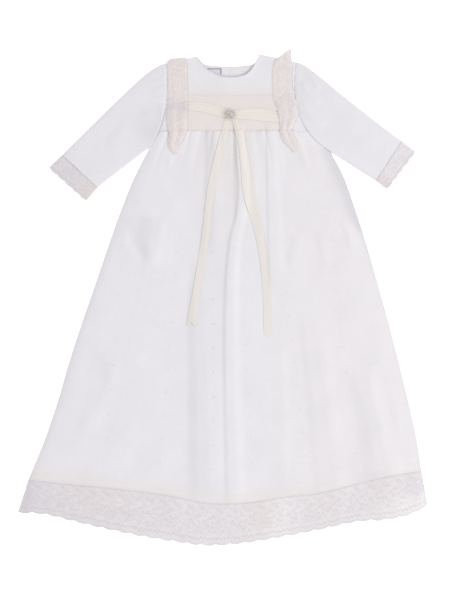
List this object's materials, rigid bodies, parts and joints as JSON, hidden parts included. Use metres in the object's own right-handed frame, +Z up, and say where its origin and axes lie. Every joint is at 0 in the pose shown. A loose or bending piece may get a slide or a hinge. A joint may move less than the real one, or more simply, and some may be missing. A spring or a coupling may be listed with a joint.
{
  "type": "christening gown",
  "caption": "Long-sleeved baby christening gown laid flat, with lace braces, a ribbon sash with a jewel button and long tails, a gathered skirt and a deep scalloped lace hem",
  "frame": {"origin": "Centre of the bounding box's underside, on the surface that the gown lies on", "axes": "+Z up from the surface, +Y from the hem towards the neck, +X to the right as the front is seen from above"},
  "size_m": [0.632, 0.7601, 0.0132],
  "materials": {
    "cotton": "cotton batiste, white",
    "lace": "cotton lace, off-white",
    "band": "ivory cotton under fine lace net",
    "ribbon": "organza ribbon, ivory",
    "jewel": "faceted grey jewel",
    "label": "woven satin label, blank"
  },
  "bodies": {
    "root": {"back_bodice_left": "cotton", "back_bodice_right": "cotton", "back_skirt": "cotton", "back_hem_lace": "lace", "front_yoke": "cotton", "waist_band": "band", "front_skirt": "cotton", "front_hem_lace": "lace", "sleeve_left": "cotton", "sleeve_right": "cotton", "cuff_lace_left": "lace", "cuff_lace_right": "lace", "brace_left": "lace", "brace_right": "lace", "ribbon_sash": "ribbon", "ribbon_tail_left": "ribbon", "ribbon_tail_right": "ribbon", "button": "jewel", "neck_label": "label"}
  },
  "joints": []
}
